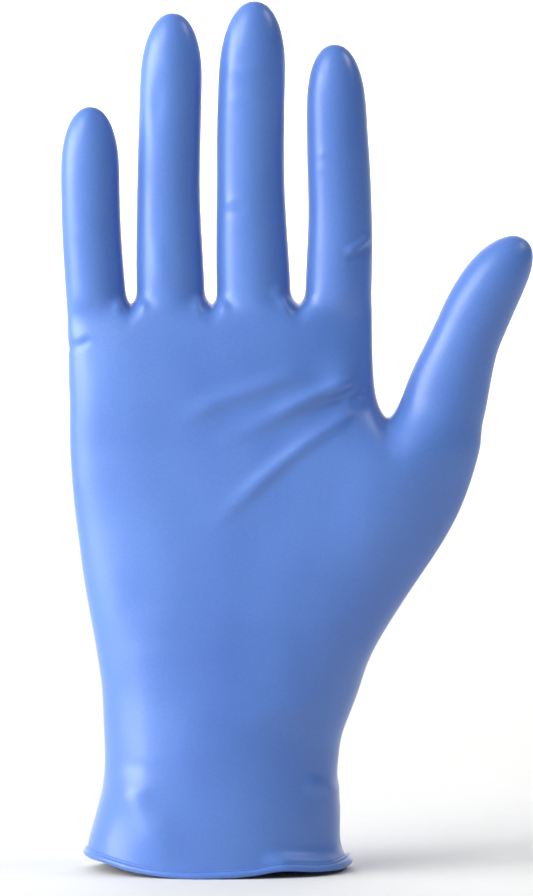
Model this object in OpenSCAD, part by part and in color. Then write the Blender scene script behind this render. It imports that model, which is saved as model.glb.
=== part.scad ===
// Disposable nitrile examination glove, standing open on its rolled rim.
// The glove is one thin dipped film. It is divided at the lines where it
// folds, so that the wrist, the fingers and the thumb can bend.
// Axes: +Z up the fingers, +X to the thumb, -Y the palm side.
// The origin is the middle of the cuff's mouth at floor level.

/* [Film] */
// Thickness of the film
film_t = 0.1; // [0.08:0.01:0.2]
// Thickness of the rolled rim
rim_d = 2.5; // [2:0.1:3.2]
// Height that the rim rises to at its two ends
rim_rise = 3.4; // [1:0.1:4.5]
// Height of the wave in the rim in front, below the thumb
rim_wave = 0.9; // [0:0.1:1.2]

/* [Cuff and wrist] */
// Width of the open mouth, across the middle of the rim
mouth_w = 71.4; // [66:0.2:76]
// Depth of the open mouth, across the middle of the rim
mouth_d = 50; // [44:1:56]
// Width at the narrowest part of the cuff
waist_w = 63.8; // [60:0.2:66]
// Height of the narrowest part of the cuff
waist_z = 32; // [28:1:36]
// Height of the line where the wrist bends
wrist_z = 55; // [52:1:58]
// Furthest bend of the wrist each way, in degrees
wrist_turn = 35; // [10:5:40]

/* [Palm] */
// Width of the palm just below the fingers
palm_w = 83.4; // [80:0.2:86]
// Depth of the palm just below the fingers
palm_d = 27.2; // [25:0.2:30]
// Width across the palm and the base of the thumb
thumb_base_w = 112; // [108:0.5:116]
// Height of the crotch between the thumb and the palm
thumb_crotch_z = 125; // [123:0.5:127]
// Height of the webs between the fingers
web_z = 157; // [156:0.5:158]

/* [Little finger] */
// Width
little_w = 16.2; // [15:0.1:17]
// Depth
little_d = 14; // [13:0.1:16]
// Height of its tip
little_top = 211; // [206:1:216]

/* [Ring finger] */
// Width
ring_w = 17.4; // [16:0.1:18]
// Depth
ring_d = 15.4; // [14:0.1:17]
// Height of its tip
ring_top = 236.5; // [232:0.5:240]

/* [Middle finger] */
// Width
middle_w = 18.6; // [17:0.1:19]
// Depth
middle_d = 16; // [15:0.1:17.5]
// Height of its tip
middle_top = 240; // [236:0.5:246]

/* [Index finger] */
// Width
index_w = 17.6; // [16:0.1:18.4]
// Depth
index_d = 15.6; // [14:0.1:17]
// Height of its tip
index_top = 228; // [224:0.5:232]

/* [Thumb] */
// Width
thumb_w = 18.8; // [17:0.1:20]
// Depth
thumb_d = 17.2; // [16:0.1:18.5]
// Length from its root to its tip
thumb_l = 52; // [50:0.5:54]
// Lean away from the fingers, in degrees
thumb_lean = 22; // [20:0.5:24]

/* [Hidden] */

film_blue = [0.34, 0.49, 0.82];
fold_blue = [0.28, 0.42, 0.74];
rim_blue = [0.40, 0.56, 0.88];

// Corner squareness of an oval section: 1 is an ellipse, less is squarer
palm_oval = 0.86;
cuff_oval = 0.94;
// Columns of points round the cuff and round each finger
cuff_columns = 60;
finger_columns = 24;
column_turn = 360 / finger_columns;
// Columns across a web, along one side of a finger, and round an outer finger
web_steps = 4;
side_steps = 8;
end_steps = finger_columns - web_steps;

// Film left straight on each side of a fold, past what the bend takes up
fold_spare = 0.5;
// Furthest bends of the finger's root, knuckle and end joint, in degrees
root_turn = 60;
knuckle_turn = 75;
joint_turn = 45;
thumb_turn = 50;

// Heights of the rings that the webs rise from and end in
web_low_z = web_z - 7;
finger_z = web_z + 2;
crotch_low_z = thumb_crotch_z - 7;
// Places of the three webs and of the thumb's crotch across the hand
web_x = [-24, -1.7, 22.2];
crotch_x = 46.6;

// ---- Sections of the hand: [height, left edge, right edge, half depth] ----

mouth_z = rim_d;
palm_left = -palm_w / 2 + 0.6;
palm_right = palm_w / 2 + 0.6;
thumb_side = thumb_base_w - 40.4;

cuff_sections = [
    [mouth_z, -mouth_w / 2, mouth_w / 2, mouth_d / 2],
    [8, -mouth_w / 2 + 0.2, mouth_w / 2 - 1, mouth_d / 2],
    [14, -34.3, 33.8, 24.6],
    [20, -32.8, 33.1, 24.2],
    [26, -31.6, 32.6, 23.8],
    [waist_z, -waist_w / 2 + 0.8, waist_w / 2 + 0.8, 23.4],
    [38, -31, 33.8, 23],
    [wrist_z - 12, -31.4, 35.4, 22.4]
];

wrist_sections = [
    [wrist_z - 12, -31.4, 35.4, 22.4],
    [wrist_z - 4, -32, 38, 21.6],
    [wrist_z + 4, -32.8, 41, 20.8],
    [wrist_z + 12, -34.2, 45.3, 20]
];

palm_sections = [
    [wrist_z + 12, -34.2, 45.3, 20],
    [75, -35.7, 50.4, 19.2],
    [83, -37, 55.8, 18.4],
    [91, -38.2, 61, 17.6],
    [99, -39.2, 65.4, 16.8],
    [107, -39.9, 68.8, 16.2],
    [crotch_low_z - 4, -40.2, thumb_side - 0.8, 15.7],
    [crotch_low_z, -40.4, thumb_side, 15.2]
];

knuckle_sections = [
    [thumb_crotch_z + 5, -40.8, 43.6, 15.2],
    [137, -41, 42.6, 15],
    [144, palm_left, palm_right, 14.5],
    [web_low_z, palm_left, palm_right, palm_d / 2]
];

// ---- Rows of points ----

function power(value, exponent) = sign(value) * pow(abs(value), exponent);

// Point of an oval between two edges; thin narrows the depth towards the thumb
function oval_point(section, angle, inset, oval, thin) =
    let (
        middle = (section[1] + section[2]) / 2,
        half = (section[2] - section[1]) / 2 - inset,
        across = power(cos(angle), oval),
        depth = section[3] * (1 - thin * pow((1 + across) / 2, 2)) - inset
    )
    [middle + half * across, depth * power(sin(angle), oval), section[0]];

// Angle at which an oval section reaches a place across the hand
function oval_angle(section, x, oval) =
    let (
        middle = (section[1] + section[2]) / 2,
        half = (section[2] - section[1]) / 2,
        across = max(-1, min(1, (x - middle) / half))
    )
    acos(power(across, 1 / oval));

// Angles from one to another in equal steps, without the last
function steps(first, last, count) =
    [for (k = [0 : count - 1]) first + (last - first) * k / count];

web_section = knuckle_sections[3];
crotch_section = palm_sections[7];
web_angle = [for (x = web_x) oval_angle(web_section, x, palm_oval)];

// Columns of the palm below the fingers, starting at the little finger's web
knuckle_angles = concat(
    steps(-web_angle[0], -web_angle[1], side_steps),
    steps(-web_angle[1], -web_angle[2], side_steps),
    steps(-web_angle[2], web_angle[2], end_steps),
    steps(web_angle[2], web_angle[1], side_steps),
    steps(web_angle[1], web_angle[0], side_steps),
    steps(web_angle[0], 360 - web_angle[0], end_steps)
);
knuckle_columns = len(knuckle_angles);

// First and last column of the thumb's crotch in the row above it
crotch_first = 2 * side_steps + (end_steps - web_steps) / 2;
crotch_last = crotch_first + web_steps;

// Place across the hand of each front column in the row at the crotch
function front_x(column) =
    column <= 2 * side_steps
    ? oval_point(web_section, knuckle_angles[column], 0, palm_oval, 0)[0]
    : web_x[2] + (crotch_x - web_x[2])
        * (column - 2 * side_steps) / (crotch_first - 2 * side_steps);
function front_angle(column) =
    oval_angle(crotch_section, front_x(column), palm_oval);
crotch_angle = oval_angle(crotch_section, crotch_x, palm_oval);
low_web_angle = front_angle(0);

// Columns of the palm below the thumb's crotch
palm_angles = concat(
    [for (column = [0 : crotch_first - 1]) -front_angle(column)],
    steps(-crotch_angle, crotch_angle, end_steps),
    [for (column = [crotch_first : -1 : 1]) front_angle(column)],
    steps(low_web_angle, 360 - low_web_angle, end_steps)
);

function oval_row(section, angles, inset, oval, thin = 0) =
    [for (angle = angles) oval_point(section, angle, inset, oval, thin)];

// Narrowing of the depth towards the thumb, by height
function thumb_thin(z) =
    0.3 * max(0, min(1, (z - wrist_z - 12) / (crotch_low_z - wrist_z - 12)));
function palm_row(section, inset) =
    oval_row(section, palm_angles, inset, palm_oval, thumb_thin(section[0]));
function knuckle_row(section, inset) =
    oval_row(section, knuckle_angles, inset, palm_oval);

// Inner points of a web's arch from one foot to the other
function arch(foot_a, foot_b, top, inset) =
    [for (k = [1 : web_steps - 1])
        let (along = k / web_steps, foot = foot_a + (foot_b - foot_a) * along)
        [foot[0], foot[1], foot[2] + (top - 1.5 * inset - foot[2]) * sin(180 * along)]];

// Part of a closed row from one column to another, both included
function arc_of(row, first, last) =
    [for (column = [first : last]) row[column % len(row)]];

// ---- Fingers ----

// A finger: [root x, tip x, half width, half depth, length, first angle,
//            height of the knuckle's fold, height of the end joint's fold]
little = [-33.6, -35.4, little_w / 2, little_d / 2, little_top - finger_z, 30, 19.5, 36.5];
ring = [-12.9, -12.9, ring_w / 2, ring_d / 2, ring_top - finger_z, 210, 26, 50.5];
middle = [9.8, 10.2, middle_w / 2, middle_d / 2, middle_top - finger_z, 210, 27, 53];
index = [33.2, 32.4, index_w / 2, index_d / 2, index_top - finger_z, 210, 24, 46];
thumb = [0, 0, thumb_w / 2, thumb_d / 2, thumb_l, 210, 28, 0];

// Half the length of film that a fold of this turn needs
function fold_half(finger, turn) = finger[3] * tan(turn / 2) + fold_spare;
function root_fold(finger) = fold_half(finger, root_turn);
function root_end(finger) = 2 * root_fold(finger);
function knuckle_low(finger) = finger[6] - fold_half(finger, knuckle_turn);
function knuckle_high(finger) = finger[6] + fold_half(finger, knuckle_turn);
function joint_low(finger) = finger[7] - fold_half(finger, joint_turn);
function joint_high(finger) = finger[7] + fold_half(finger, joint_turn);

// The root of a finger flares into its webs
function flare(finger, along) =
    let (near = max(0, 1 - along / root_end(finger)))
    0.09 * finger[2] * near * near;
function centre_x(finger, along) =
    finger[0] + (finger[1] - finger[0]) * min(1, 1.6 * along / finger[4]);
function dome_l(finger) = 1.45 * finger[2];

function ellipse_row(x, half_w, half_d, z, first) =
    [for (k = [0 : finger_columns - 1])
        let (angle = first + k * column_turn)
        [x + half_w * cos(angle), half_d * sin(angle), z]];
function finger_row(finger, along, inset) =
    ellipse_row(
        centre_x(finger, along),
        finger[2] + flare(finger, along) - inset,
        finger[3] + flare(finger, along) - inset,
        along, finger[5]
    );
function dome_row(finger, turn, inset) =
    let (reach = dome_l(finger))
    ellipse_row(
        centre_x(finger, finger[4]),
        (finger[2] - inset) * cos(turn),
        (finger[3] - inset) * cos(turn),
        finger[4] - reach + (reach - inset) * sin(turn),
        finger[5]
    );
function dome_top(finger, inset) =
    [centre_x(finger, finger[4]), 0, finger[4] - inset];

// Rows along a stretch of a finger
function stretch(finger, first, last, count, inset) =
    [for (k = [0 : count]) finger_row(finger, first + (last - first) * k / count, inset)];

// ---- Thumb ----

thumb_at = [60.4, 0, 127];
thumb_flare = 1.7;
function to_thumb(point) =
    thumb_at + [
        point[0] * cos(thumb_lean) + point[2] * sin(thumb_lean),
        point[1],
        point[2] * cos(thumb_lean) - point[0] * sin(thumb_lean)
    ];
thumb_fold = thumb_d / 2 * tan(thumb_turn / 2) + fold_spare;
thumb_root_end = 2 * thumb_fold;
function thumb_row(along, inset) =
    let (near = max(0, 1 - along / thumb_root_end), wider = thumb_flare * near * near)
    [for (point = ellipse_row(0, thumb[2] + wider - inset, thumb[3] + wider / 2 - inset,
                              along, thumb[5]))
        to_thumb(point)];
function thumb_stretch(first, last, count, inset) =
    [for (k = [0 : count]) thumb_row(first + (last - first) * k / count, inset)];

// ---- Skins ----

// Triangles between two closed rows, seen from outside
function band(low, high) =
    [for (i = [0 : len(low) - 1])
        let (j = (i + 1) % len(low))
        each [[low[i], low[j], high[j]], [low[i], high[j], high[i]]]];
function bands(rows) = [for (i = [0 : len(rows) - 2]) each band(rows[i], rows[i + 1])];
function cone(row, top) =
    [for (i = [0 : len(row) - 1]) [row[i], row[(i + 1) % len(row)], top]];
function flip(triangles) = [for (t = triangles) [t[0], t[2], t[1]]];

// Film between an outer and an inner skin, open at both ends
function sleeve(outer, inner) =
    let (last = len(outer) - 1)
    concat(
        bands(outer),
        flip(bands(inner)),
        flip(band(outer[0], inner[0])),
        band(outer[last], inner[last])
    );
// Film closed over a dome at its upper end
function cap(outer, inner, outer_top, inner_top) =
    let (last = len(outer) - 1)
    concat(
        bands(outer),
        cone(outer[last], outer_top),
        flip(concat(bands(inner), cone(inner[last], inner_top))),
        flip(band(outer[0], inner[0]))
    );

module solid(triangles) {
    polyhedron(
        points = [for (t = triangles) each t],
        faces = [for (i = [0 : len(triangles) - 1]) [3 * i + 2, 3 * i + 1, 3 * i]]
    );
}

// ---- Palm ----

function crotch_row(inset) = palm_row(crotch_section, inset);
function crotch_arch(inset) =
    let (row = crotch_row(inset))
    arch(row[crotch_first], row[crotch_first + end_steps], thumb_crotch_z, inset);
// Row at the crotch that the palm above it starts from
function palm_start(inset) =
    let (row = crotch_row(inset))
    concat(
        arc_of(row, 0, crotch_first),
        crotch_arch(inset),
        arc_of(row, crotch_first + end_steps, len(row) - 1)
    );
// Row at the crotch that the thumb starts from
function reverse(list) = [for (i = [len(list) - 1 : -1 : 0]) list[i]];
function thumb_start(inset) =
    let (row = crotch_row(inset))
    concat(
        arc_of(row, crotch_first, crotch_first + end_steps),
        reverse(crotch_arch(inset))
    );

// Columns at which the webs stand, on the palm side and on the back
web_front = [0, side_steps, 2 * side_steps];
web_back = [for (k = [0 : 2]) 4 * side_steps + end_steps - k * side_steps];
function web_arch(web, inset) =
    let (row = knuckle_row(web_section, inset))
    arch(row[web_front[web]], row[web_back[web]], web_z, inset);

// Rows that the four fingers start from
function little_start(inset) =
    let (row = knuckle_row(web_section, inset))
    concat(arc_of(row, web_back[0], knuckle_columns), web_arch(0, inset));
function between_start(web, inset) =
    let (row = knuckle_row(web_section, inset))
    concat(
        arc_of(row, web_front[web], web_front[web + 1]),
        web_arch(web + 1, inset),
        arc_of(row, web_back[web + 1], web_back[web]),
        reverse(web_arch(web, inset))
    );
function index_start(inset) =
    let (row = knuckle_row(web_section, inset))
    concat(arc_of(row, web_front[2], web_back[2]), reverse(web_arch(2, inset)));

function lifted(row, z) = [for (point = row) point + [0, 0, z]];
function finger_start(finger, inset) = lifted(finger_row(finger, 0, inset), finger_z);
palm_fingers = [little, ring, middle, index];
function palm_skin(inset) =
    concat(
        bands([for (section = palm_sections) palm_row(section, inset)]),
        bands(concat(
            [palm_start(inset)],
            [for (section = knuckle_sections) knuckle_row(section, inset)]
        )),
        band(thumb_start(inset), thumb_row(0, inset)),
        band(little_start(inset), finger_start(little, inset)),
        band(between_start(0, inset), finger_start(ring, inset)),
        band(between_start(1, inset), finger_start(middle, inset)),
        band(index_start(inset), finger_start(index, inset))
    );
function palm_film() =
    concat(
        palm_skin(0),
        flip(palm_skin(film_t)),
        flip(band(palm_row(palm_sections[0], 0), palm_row(palm_sections[0], film_t))),
        band(thumb_row(0, 0), thumb_row(0, film_t)),
        [for (finger = palm_fingers)
            each band(finger_start(finger, 0), finger_start(finger, film_t))]
    );

// ---- Cuff and rim ----

cuff_angles = steps(0, 360, cuff_columns);
function cuff_rows(sections, inset) =
    [for (section = sections) oval_row(section, cuff_angles, inset, cuff_oval)];

// Share of the half width over which the rim lies flat, in front and behind
front_flat = 0.38;
back_flat = 0.6;
// A smooth hump of height 1 about a middle angle
function hump(angle, middle, half) =
    let (along = (angle - middle) / half)
    abs(along) < 1 ? pow(cos(90 * along), 2) : 0;
// Lift of the rim: it rises to both ends, with a low wave in front
function rim_lift(angle) =
    let (
        flat = sin(angle) > 0 ? back_flat : front_flat,
        rise = max(0, (abs(cos(angle)) - flat) / (1 - flat))
    )
    rim_rise * pow(rise, 1.1)
        + rim_wave * (hump(angle, 301, 16) - 0.8 * hump(angle, 321, 14));
function waved(row) =
    [for (i = [0 : len(row) - 1]) row[i] + [0, 0, rim_lift(cuff_angles[i])]];

rim_foot = 0.55;
// Section of the rolled rim: [outward, up], from the film's outside round to
// its inside, with a flat top under the film and a flat foot
rim_outline = concat(
    [[0, rim_d / 2]],
    [for (turn = [60 : -30 : -45]) [cos(turn), sin(turn)] * rim_d / 2],
    [[rim_foot, -rim_d / 2], [-rim_foot, -rim_d / 2]],
    [for (turn = [210 : -30 : 105]) [cos(turn), sin(turn)] * rim_d / 2],
    [[-film_t, rim_d / 2]]
);
function rim_row(corner) =
    let (section = [rim_d / 2 + corner[1], -mouth_w / 2, mouth_w / 2, mouth_d / 2])
    waved(oval_row(section, cuff_angles, -corner[0], cuff_oval));
function rim_skin() =
    let (rows = [for (corner = rim_outline) rim_row(corner)])
    flip(bands(concat(rows, [rows[0]])));

module cuff_rim() {
    color(rim_blue) solid(rim_skin());
}

module cuff() {
    outer = cuff_rows(cuff_sections, 0);
    inner = cuff_rows(cuff_sections, film_t);
    last = len(outer) - 1;
    color(film_blue)
    solid(sleeve(
        concat([waved(outer[0])], [for (i = [1 : last]) outer[i]]),
        concat([waved(inner[0])], [for (i = [1 : last]) inner[i]])
    ));
}

// The wrist's film changes from the cuff's rounder section to the palm's
function wrist_rows(inset) =
    let (low = wrist_sections[0][0], high = wrist_sections[3][0])
    [for (section = wrist_sections)
        let (share = (section[0] - low) / (high - low))
        oval_row(section, cuff_angles, inset,
                 cuff_oval + (palm_oval - cuff_oval) * share)];

module wrist_film() {
    color(fold_blue) solid(sleeve(wrist_rows(0), wrist_rows(film_t)));
}

module palm() {
    color(film_blue) solid(palm_film());
}

// ---- Pieces of a finger ----

module finger_piece(finger, first, last, count, tint) {
    color(tint)
    solid(sleeve(
        [for (row = stretch(finger, first, last, count, 0)) lifted(row, finger_z)],
        [for (row = stretch(finger, first, last, count, film_t)) lifted(row, finger_z)]
    ));
}
function tip_rows(finger, inset) =
    [for (row = concat(
        stretch(finger, joint_high(finger), finger[4] - dome_l(finger), 1, inset),
        [for (turn = [18 : 18 : 72]) dome_row(finger, turn, inset)]
    )) lifted(row, finger_z)];
module finger_root(finger) {
    finger_piece(finger, 0, root_end(finger), 3, fold_blue);
}
module finger_base(finger) {
    finger_piece(finger, root_end(finger), knuckle_low(finger), 1, film_blue);
}
module finger_knuckle(finger) {
    finger_piece(finger, knuckle_low(finger), knuckle_high(finger), 3, fold_blue);
}
module finger_middle(finger) {
    finger_piece(finger, knuckle_high(finger), joint_low(finger), 2, film_blue);
}
module finger_joint(finger) {
    finger_piece(finger, joint_low(finger), joint_high(finger), 2, fold_blue);
}
module finger_tip(finger) {
    color(film_blue)
    solid(cap(
        tip_rows(finger, 0),
        tip_rows(finger, film_t),
        dome_top(finger, 0) + [0, 0, finger_z],
        dome_top(finger, film_t) + [0, 0, finger_z]
    ));
}

module little_finger_root() finger_root(little);
module little_finger_base() finger_base(little);
module little_finger_knuckle() finger_knuckle(little);
module little_finger_middle() finger_middle(little);
module little_finger_joint() finger_joint(little);
module little_finger_tip() finger_tip(little);

module ring_finger_root() finger_root(ring);
module ring_finger_base() finger_base(ring);
module ring_finger_knuckle() finger_knuckle(ring);
module ring_finger_middle() finger_middle(ring);
module ring_finger_joint() finger_joint(ring);
module ring_finger_tip() finger_tip(ring);

module middle_finger_root() finger_root(middle);
module middle_finger_base() finger_base(middle);
module middle_finger_knuckle() finger_knuckle(middle);
module middle_finger_middle() finger_middle(middle);
module middle_finger_joint() finger_joint(middle);
module middle_finger_tip() finger_tip(middle);

module index_finger_root() finger_root(index);
module index_finger_base() finger_base(index);
module index_finger_knuckle() finger_knuckle(index);
module index_finger_middle() finger_middle(index);
module index_finger_joint() finger_joint(index);
module index_finger_tip() finger_tip(index);

// ---- Pieces of the thumb ----

thumb_joint_low = thumb[6] - thumb_fold;
thumb_joint_high = thumb[6] + thumb_fold;
module thumb_piece(first, last, count, tint) {
    color(tint)
    solid(sleeve(
        thumb_stretch(first, last, count, 0),
        thumb_stretch(first, last, count, film_t)
    ));
}
function thumb_tip_rows(inset) =
    concat(
        thumb_stretch(thumb_joint_high, thumb_l - dome_l(thumb), 1, inset),
        [for (turn = [18 : 18 : 72])
            [for (point = dome_row(thumb, turn, inset)) to_thumb(point)]]
    );

module thumb_root() {
    thumb_piece(0, thumb_root_end, 3, fold_blue);
}
module thumb_base() {
    thumb_piece(thumb_root_end, thumb_joint_low, 2, film_blue);
}
module thumb_joint() {
    thumb_piece(thumb_joint_low, thumb_joint_high, 3, fold_blue);
}
module thumb_tip() {
    color(film_blue)
    solid(cap(
        thumb_tip_rows(0),
        thumb_tip_rows(film_t),
        to_thumb(dome_top(thumb, 0)),
        to_thumb(dome_top(thumb, film_t))
    ));
}

cuff_rim();
cuff();
wrist_film();
palm();
little_finger_root();
little_finger_base();
little_finger_knuckle();
little_finger_middle();
little_finger_joint();
little_finger_tip();
ring_finger_root();
ring_finger_base();
ring_finger_knuckle();
ring_finger_middle();
ring_finger_joint();
ring_finger_tip();
middle_finger_root();
middle_finger_base();
middle_finger_knuckle();
middle_finger_middle();
middle_finger_joint();
middle_finger_tip();
index_finger_root();
index_finger_base();
index_finger_knuckle();
index_finger_middle();
index_finger_joint();
index_finger_tip();
thumb_root();
thumb_base();
thumb_joint();
thumb_tip();
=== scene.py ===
"""Disposable nitrile glove, standing on its rolled rim with its fingers up.

The film is one continuous skin. Its coarse rows are built from a few sections of
the hand, smoothed by subdivision, folded and creased, and then divided between one
joint and the next, so that every piece spans one joint at most.

Lengths are in millimetres until a piece's mesh is made, and in metres from there on.
"""
import logging
import math
from dataclasses import dataclass, field
from enum import Enum

import bpy
import numpy as np
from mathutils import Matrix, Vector


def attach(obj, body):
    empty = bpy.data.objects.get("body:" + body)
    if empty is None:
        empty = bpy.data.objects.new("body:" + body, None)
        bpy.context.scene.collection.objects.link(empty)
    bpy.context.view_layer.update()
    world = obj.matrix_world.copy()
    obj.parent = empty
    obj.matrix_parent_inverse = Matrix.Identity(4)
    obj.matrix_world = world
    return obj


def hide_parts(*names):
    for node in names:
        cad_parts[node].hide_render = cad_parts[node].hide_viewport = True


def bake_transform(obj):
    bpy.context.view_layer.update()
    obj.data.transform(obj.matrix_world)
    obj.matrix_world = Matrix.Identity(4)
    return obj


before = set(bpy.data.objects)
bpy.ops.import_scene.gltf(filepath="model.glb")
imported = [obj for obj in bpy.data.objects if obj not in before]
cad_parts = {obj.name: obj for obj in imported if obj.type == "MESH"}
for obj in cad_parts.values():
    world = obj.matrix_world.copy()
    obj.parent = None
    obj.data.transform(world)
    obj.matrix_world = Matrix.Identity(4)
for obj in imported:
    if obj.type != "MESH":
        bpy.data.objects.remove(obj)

LOG = logging.getLogger("glove")
MM = 0.001

# Columns of points round a finger, across a web, along one side of a finger
# between two webs, and round the outer side of the hand beside the last web
FINGER_COLUMNS = 24
WEB_STEPS = 4
SIDE_STEPS = 8
END_STEPS = FINGER_COLUMNS - WEB_STEPS
# Share of its size that a ring of that many columns keeps when it is subdivided
RING_SHRINK = (2 + math.cos(2 * math.pi / FINGER_COLUMNS)) / 3
# Distance between the coarse rows, and between those about the thumb's crotch,
# which are farther apart so that the film stays round there
ROW_SPACING = 3.0
CROTCH_SPACING = 6.0
# Values that a noise texture mostly stays between
NOISE_LOW = 0.3
NOISE_HIGH = 0.7
# Numbers of the palm's piece of film and of the first piece of the first stall
PALM_PART = 2
FIRST_STALL_PART = 3

Row = list[int]
Place = tuple[float, float, float]
Colour = tuple[float, float, float]


class Side(Enum):
    """Side of the hand that a fold shows on."""

    PALM = -1
    BACK = 1


class Smoothness(Enum):
    """Subdivision levels of a skin."""

    FILM = 2
    RIM = 1


# ---- Small shape functions ----


def power(value: np.ndarray, exponent: float) -> np.ndarray:
    """Power of a number's size that keeps its sign."""
    return np.sign(value) * np.abs(value) ** exponent


def smooth(value: np.ndarray) -> np.ndarray:
    """Ease a value from 0 to 1, level at both ends."""
    held = np.clip(value, 0, 1)
    return held * held * (3 - 2 * held)


def hump(value: np.ndarray, middle: float, half: float) -> np.ndarray:
    """Height of a smooth hump of height 1 about a middle value."""
    along = np.clip((value - middle) / half, -1, 1)
    return np.cos(along * math.pi / 2) ** 2


def steps(first: float, last: float, count: int) -> list[float]:
    """Equal steps from one number towards another, without the last."""
    return [first + (last - first) * k / count for k in range(count)]


def curve_through(points: np.ndarray, per_span: int = 8) -> np.ndarray:
    """Draw a smooth curve through a few points.

    Args:
        points: The points, one per row.
        per_span: Points on the curve for each span between two of them.

    Returns:
        The points of the curve, one per row.
    """
    ends = np.vstack([2 * points[0] - points[1], points, 2 * points[-1] - points[-2]])
    drawn = []
    for a, b, c, d in zip(ends, ends[1:], ends[2:], ends[3:]):
        for t in steps(0, 1, per_span):
            drawn.append(0.5 * (
                2 * b + (c - a) * t
                + (2 * a - 5 * b + 4 * c - d) * t ** 2
                + (3 * b - a - 3 * c + d) * t ** 3
            ))
    return np.array(drawn + [points[-1]])


# ---- Finishes ----


class MaterialNodes:
    """A new material and the nodes that feed its shader."""

    def __init__(self, name: str) -> None:
        """Start a material whose textures follow each piece's own coordinates.

        Args:
            name: Name of the material.
        """
        self.material = bpy.data.materials.new(name)
        self.material.use_nodes = True
        self.nodes = self.material.node_tree.nodes
        self.links = self.material.node_tree.links
        self.shader = self.nodes["Principled BSDF"]
        self.place = self.nodes.new("ShaderNodeTexCoord").outputs["Object"]

    def set(self, name: str, value: float) -> None:
        """Set one of the shader's values."""
        self.shader.inputs[name].default_value = value

    def feed(self, name: str, value: bpy.types.NodeSocket) -> None:
        """Feed one of the shader's values from a node."""
        self.links.new(value, self.shader.inputs[name])

    def noise(self, scale: float, detail: float) -> bpy.types.NodeSocket:
        """Add a noise texture.

        Args:
            scale: How many of its bumps fit in a metre.
            detail: How many finer octaves it has.

        Returns:
            The texture's value.
        """
        noise = self.nodes.new("ShaderNodeTexNoise")
        noise.inputs["Scale"].default_value = scale
        noise.inputs["Detail"].default_value = detail
        self.links.new(self.place, noise.inputs["Vector"])
        return noise.outputs["Fac"]

    def spread(self, value: bpy.types.NodeSocket, low: float, high: float) -> bpy.types.NodeSocket:
        """Spread a noise over a range.

        Args:
            value: The noise.
            low: Low end of the range.
            high: High end of the range.

        Returns:
            The value over that range.
        """
        spread = self.nodes.new("ShaderNodeMapRange")
        spread.inputs["From Min"].default_value = NOISE_LOW
        spread.inputs["From Max"].default_value = NOISE_HIGH
        spread.inputs["To Min"].default_value = low
        spread.inputs["To Max"].default_value = high
        self.links.new(value, spread.inputs["Value"])
        return spread.outputs["Result"]

    def mix(self, low: Colour, high: Colour, share: bpy.types.NodeSocket) -> bpy.types.NodeSocket:
        """Mix two colours.

        Args:
            low: The colour at a share of 0.
            high: The colour at a share of 1.
            share: The share.

        Returns:
            The mixed colour.
        """
        mixed = self.nodes.new("ShaderNodeMix")
        mixed.data_type = "RGBA"
        mixed.inputs["A"].default_value = (*low, 1)
        mixed.inputs["B"].default_value = (*high, 1)
        self.links.new(share, mixed.inputs["Factor"])
        return mixed.outputs["Result"]


@dataclass(frozen=True)
class NitrileFinish:
    """Dipped nitrile film: blue, half glossy, with a fine grain and cloudy thickness.

    Scales are bumps in a metre. The deep blue is where the film is thick, and the
    bloom is the powdery sheen of the dry surface.
    """

    name: str
    deep: Colour
    pale: Colour
    roughness: float = 0.37
    roughness_swing: float = 0.12
    patch_scale: float = 60
    cloud_scale: float = 22
    speckle: float = 0.04
    speckle_scale: float = 1500
    grain_scale: float = 2600
    grain_depth: float = 0.00002
    grain_strength: float = 0.45
    waver_scale: float = 240
    waver_share: float = 5.0
    ior: float = 1.52
    bloom: float = 0.3
    bloom_roughness: float = 0.35

    def build(self) -> bpy.types.Material:
        """Make the film's material.

        Returns:
            The finished material.
        """
        made = MaterialNodes(self.name)
        made.set("IOR", self.ior)
        made.set("Sheen Weight", self.bloom)
        made.set("Sheen Roughness", self.bloom_roughness)
        made.feed("Base Color", self._blue(made))
        patches = made.noise(self.patch_scale, detail=4)
        half = self.roughness_swing / 2
        made.feed("Roughness", made.spread(patches, self.roughness - half, self.roughness + half))
        made.feed("Normal", self._relief(made))
        return made.material

    def _blue(self, made: MaterialNodes) -> bpy.types.NodeSocket:
        """Cloud the blue and speckle it.

        Args:
            made: The material's nodes.

        Returns:
            The colour.
        """
        cloud = made.spread(made.noise(self.cloud_scale, detail=3), 0.0, 1.0)
        speckle = made.noise(self.speckle_scale, detail=2)
        mottle = made.nodes.new("ShaderNodeHueSaturation")
        made.links.new(made.mix(self.deep, self.pale, cloud), mottle.inputs["Color"])
        level = made.spread(speckle, 1 - self.speckle, 1 + self.speckle)
        made.links.new(level, mottle.inputs["Value"])
        return mottle.outputs["Color"]

    def _relief(self, made: MaterialNodes) -> bpy.types.NodeSocket:
        """Raise a fine grain on a longer waver.

        Args:
            made: The material's nodes.

        Returns:
            The surface's direction.
        """
        height = made.nodes.new("ShaderNodeMath")
        height.operation = "MULTIPLY_ADD"
        height.inputs[1].default_value = self.waver_share
        made.links.new(made.noise(self.waver_scale, detail=2), height.inputs[0])
        made.links.new(made.noise(self.grain_scale, detail=3), height.inputs[2])
        bump = made.nodes.new("ShaderNodeBump")
        bump.inputs["Strength"].default_value = self.grain_strength
        bump.inputs["Distance"].default_value = self.grain_depth
        made.links.new(height.outputs[0], bump.inputs["Height"])
        return bump.outputs["Normal"]


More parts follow.
